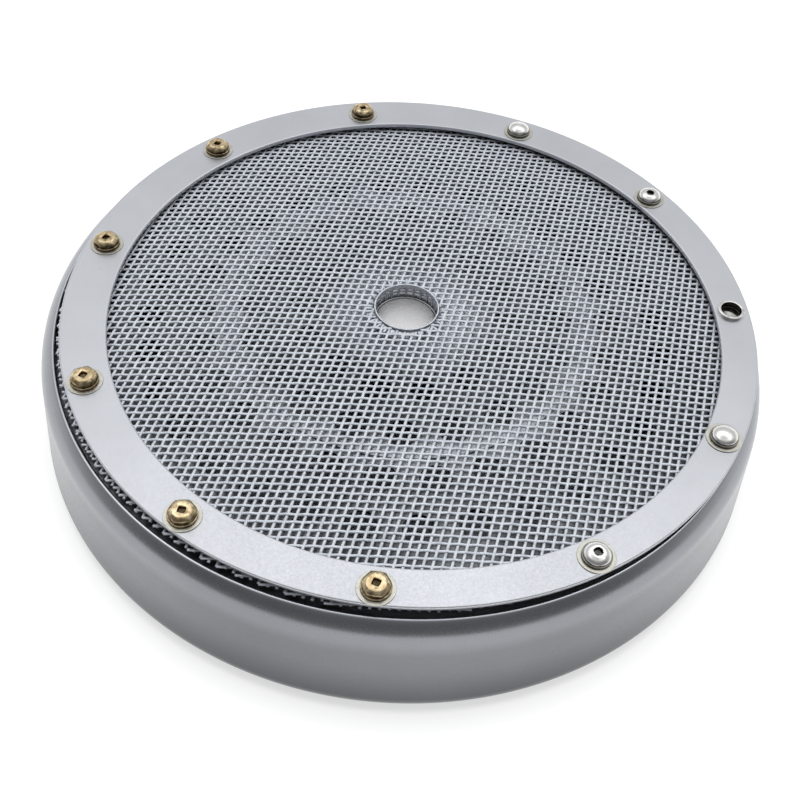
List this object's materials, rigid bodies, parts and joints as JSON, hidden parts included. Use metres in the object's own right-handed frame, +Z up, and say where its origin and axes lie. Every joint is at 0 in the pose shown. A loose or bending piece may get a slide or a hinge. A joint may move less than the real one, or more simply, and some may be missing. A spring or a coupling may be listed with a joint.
{
  "type": "flat-face gas burner head",
  "caption": "Flat round premix gas burner head: drawn steel pan, woven wire flame face under a screwed clamp ring, gas holes beneath, and a tube through the middle.",
  "frame": {"origin": "middle of the pan's underside, on the surface the burner stands on", "axes": "+Z up out of the flame face along the middle tube, +Y towards the gas and air inlet, +X towards the screw place left empty"},
  "size_m": [0.271, 0.271, 0.0534],
  "materials": {
    "pan_steel": "satin drawn steel, smooth, with faint handling marks",
    "ring_steel": "satin sheet steel with bright rounded edges",
    "mesh_wire": "bright drawn heat-resisting wire",
    "plate_steel": "plain rolled sheet, slightly uneven",
    "inner_steel": "mill-finish sheet",
    "tube_steel": "polished inside",
    "gold_plate": "yellow passivated plating, polished with dark recesses",
    "bright_plate": "bright nickel plating",
    "pale_washer": "thin washer with a pale yellow tint",
    "zinc_plate": "zinc plated",
    "fibre_gasket": "pressed fibre board",
    "black_gasket": "matte black graphite sheet"
  },
  "bodies": {
    "root": {"body_pan": "pan_steel", "seat_ring": "inner_steel", "rivet_nuts": "zinc_plate", "lower_gasket": "fibre_gasket", "distributor_plate": "plate_steel", "spacer_ring": "inner_steel", "flame_mesh": "mesh_wire", "mesh_eyelet": "tube_steel", "upper_gasket": "black_gasket", "clamp_ring": "ring_steel", "thin_washers": "pale_washer", "gold_collars": "gold_plate", "silver_collars": "bright_plate", "gold_screws": "gold_plate", "silver_screws": "bright_plate", "centre_tube": "tube_steel", "hub_ring": "plate_steel", "tube_retainer": "inner_steel", "inlet_flange": "inner_steel", "inlet_gasket": "black_gasket", "inlet_nuts": "zinc_plate", "baffle_plate": "inner_steel", "baffle_posts": "zinc_plate", "baffle_screws": "zinc_plate"}
  },
  "joints": []
}
